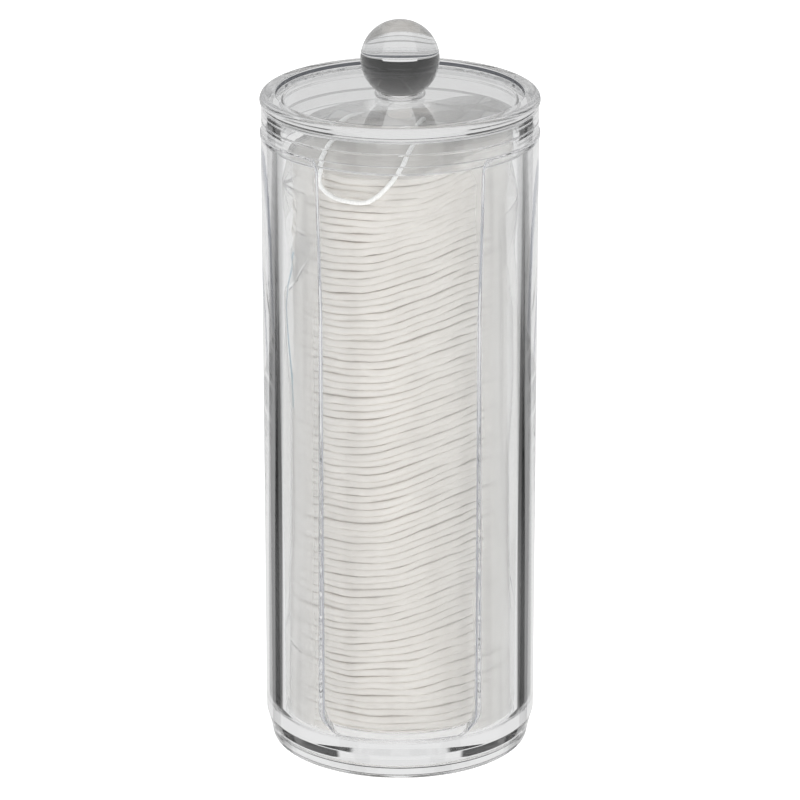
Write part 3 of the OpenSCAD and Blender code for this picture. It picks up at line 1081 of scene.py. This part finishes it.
dress(film, make_film_finish())
print("film on", film.name)

# %% [markdown]
# ## Cord
# The drawstring is twisted white cord. The twist is a slanted wave on the cord's own UV map. It lifts
# the strands with a bump and is painted darker in the low parts between them, as shade, mixed with a
# fuzz of random tone.

# %% Cord
def make_cord_finish():
    material, tree = blank_material("cord")
    uv = put(tree, "ShaderNodeTexCoord").outputs["UV"]
    turned = put(tree, "ShaderNodeMapping", Vector=uv, Scale=(120.0, 2.0, 1.0)).outputs[0]
    twist = put(tree, "ShaderNodeTexWave", {"bands_direction": "DIAGONAL"}, Vector=turned,
                Scale=0.5, Distortion=0.4).outputs[1]
    grain = put(tree, "ShaderNodeGroup", {"node_tree": GRAIN}, Scale=1500.0)
    tone = calc(tree, "ADD", calc(tree, "MULTIPLY", twist, 0.7),
                calc(tree, "MULTIPLY", grain.outputs["Value"], 0.3))
    # Painted shade: the cord is greyer where the twist's bump is low
    colour = tint(tree, (0.82, 0.82, 0.80, 1), tone, (0.95, 0.95, 0.94, 1))
    bump = put(tree, "ShaderNodeBump", Height=tone, Strength=0.5, Distance=0.0003)
    cord = put(
        tree, "ShaderNodeBsdfPrincipled", Base_Color=colour, Roughness=0.8,
        Sheen_Weight=0.2, Normal=bump.outputs[0],
    )
    put(tree, "ShaderNodeOutputMaterial", Surface=cord.outputs[0])
    return material


dress(drawstring, make_cord_finish())
print("cord finish on", drawstring.name)

# %% [markdown]
# ## Studio
# Clear plastic on white needs dark cards round it: bent and mirrored in the thick walls, they draw
# the dark lines that give a clear jar its edges. Here the sky carries those cards, for bent and
# mirrored rays only. The camera sees plain white, with the jar's own soft shadow on the floor.

# %% Floor
FLOOR_R = 3
FLOOR_GLOW = 0.65


def make_floor():
    fresh()
    bpy.ops.mesh.primitive_circle_add(vertices=96, radius=FLOOR_R, fill_type="NGON")
    floor = bpy.context.object
    floor.name = "studio_floor"
    material, tree = blank_material("studio_floor")
    paper = put(tree, "ShaderNodeBsdfDiffuse", Color=(0.85, 0.85, 0.85, 1))
    glow = put(tree, "ShaderNodeEmission", Strength=FLOOR_GLOW)
    seen = put(tree, "ShaderNodeAddShader", i0=paper.outputs[0], i1=glow.outputs[0])
    put(tree, "ShaderNodeOutputMaterial", Surface=seen.outputs[0])
    dress(floor, material)
    floor.visible_glossy = False
    floor.visible_transmission = False
    return floor


print("floor", make_floor().name)

# %% [markdown]
# The sky sorts rays by how often they were bent (transmission depth) and mirrored (glossy depth).
# Each sort sees its own cards. Turn is the angle in degrees from straight ahead or behind to
# straight sideways, and fold is the same with sideways treated like ahead. Height is the rise of the
# ray, from -1 to 1. The horizon parts a low half, which stands for the floor, from a high half.

# %% Sky
HORIZON = -0.264
HORIZON_BLUR = 0.004


def make_sky():
    world = bpy.data.worlds.new("studio_sky")
    bpy.context.scene.world = world
    world.use_nodes = True
    tree = world.node_tree
    tree.nodes.clear()

    def ramp(value, low, high, first=0.0, last=1.0):
        return grade(tree, value, low, high, first, last)

    def times(first, second):
        return calc(tree, "MULTIPLY", first, second)

    def rest_of(value):
        return calc(tree, "SUBTRACT", 1.0, value)

    def brighter(first, second):
        return calc(tree, "MAXIMUM", first, second)

    def over(value, limit):
        return calc(tree, "GREATER_THAN", value, limit)

    def either(share, first, second):
        return put(tree, "ShaderNodeMix", i0=share, i2=first, i3=second).outputs[0]

    path = put(tree, "ShaderNodeLightPath").outputs
    place = put(tree, "ShaderNodeTexCoord").outputs["Object"]
    split = put(tree, "ShaderNodeSeparateXYZ", i0=place).outputs
    side, groove_shade_mix = (calc(tree, "ABSOLUTE", split[axis]) for axis in "XY")
    turn = times(calc(tree, "ARCTAN2", side, groove_shade_mix), 180 / math.pi)
    fold = calc(tree, "MINIMUM", turn, calc(tree, "SUBTRACT", 90.0, turn))
    height = split["Z"]
    high = ramp(height, HORIZON - HORIZON_BLUR, HORIZON + HORIZON_BLUR)

    # Only bent: a bright floor, a dark sky and a low white card
    dark = ramp(height, HORIZON, 0.6, 0.012, 0.09)
    card = times(ramp(fold, 19.0, 20.0, 1.0, 0.0), ramp(height, -0.205, -0.2, 1.0, 0.0))
    lens = brighter(card, either(high, 1.0, dark))

    # Mirrored once inside the plastic: white ahead and sideways, grey and black between
    cards = times(ramp(turn, 15.5, 17.5, 1.0, 0.3), ramp(turn, 33.5, 36.0, 1.0, 0.0))
    cards = brighter(cards, ramp(turn, 48.0, 53.0))
    steep = ramp(height, -0.62, -0.5, 0.95, 0.0)
    once = either(high, brighter(cards, steep), ramp(fold, 20.0, 22.0, 1.0, 0.03))

    # Mirrored more often: white, but dark for rays that run along the wall or rise between cards
    level = times(ramp(height, -0.48, -0.44), ramp(height, -0.34, -0.32, 1.0, 0.0))
    level = times(level, ramp(turn, 50.0, 53.0, 1.0, 0.0))
    in_wall = times(level, ramp(turn, 22.0, 25.0))
    rising = times(ramp(height, 0.38, 0.46), ramp(fold, 20.0, 24.0))
    often = either(high, rest_of(in_wall), calc(tree, "SUBTRACT", 0.95, times(rising, 0.92)))

    # Mirrored beyond a second wall: white, but dark at the far wall's edges
    far_wall = times(level, ramp(turn, 33.0, 37.0, 0.0, 0.95))
    beyond = either(high, rest_of(far_wall), 0.5)

    # Mirrored by an outer face, without entering
    outer = either(high, ramp(fold, 34.0, 38.0, 1.0, 0.05), 0.6)

    entered = over(path["Transmission Depth"], 0.5)
    crossed = over(path["Transmission Depth"], 2.5)
    bounced = over(path["Glossy Depth"], 0.5)
    inside = either(over(path["Glossy Depth"], 1.5), once, often)
    mirrored = either(entered, outer, either(crossed, inside, beyond))
    through = either(crossed, lens, 1.0)
    bent = put(tree, "ShaderNodeBackground", Strength=either(bounced, through, mirrored))
    soft = put(tree, "ShaderNodeBackground", Strength=0.5)
    white = put(tree, "ShaderNodeBackground", Strength=1.0)
    lit = put(tree, "ShaderNodeMixShader", i0=path["Is Diffuse Ray"], i1=bent.outputs[0],
              i2=soft.outputs[0])
    both = put(tree, "ShaderNodeMixShader", i0=path["Is Camera Ray"], i1=lit.outputs[0],
               i2=white.outputs[0])
    put(tree, "ShaderNodeOutputWorld", Surface=both.outputs[0])
    return world


print("sky", make_sky().name)

# %% Lamps
LIGHT_BOUNCES = 64
# Each lamp: name, place in metres, size and power
LAMPS = [
    ("front_softbox", (0.5, -0.9, 0.9), 0.6, 6),
    ("left_softbox", (-0.9, -0.4, 0.7), 0.5, 3),
    ("rear_softbox", (-0.4, 1.0, 0.9), 0.6, 4),
]


def add_lamp(name, place, size, power):
    fresh()
    place = Vector(place)
    bpy.ops.object.light_add(type="AREA", location=place)
    lamp = bpy.context.object
    lamp.name = name
    lamp.rotation_euler = (CAMERA_AIM - place).to_track_quat("-Z", "Y").to_euler()
    lamp.data.shape = "DISK"
    lamp.data.size = size
    lamp.data.energy = power
    lamp.visible_glossy = False
    lamp.visible_transmission = False
    lamp.visible_camera = False


for lamp_values in LAMPS:
    add_lamp(*lamp_values)
bpy.context.scene.view_settings.view_transform = "Standard"
for kind in ("max_bounces", "glossy_bounces", "transmission_bounces", "transparent_max_bounces"):
    setattr(bpy.context.scene.cycles, kind, LIGHT_BOUNCES)
print(len(LAMPS), "lamps")
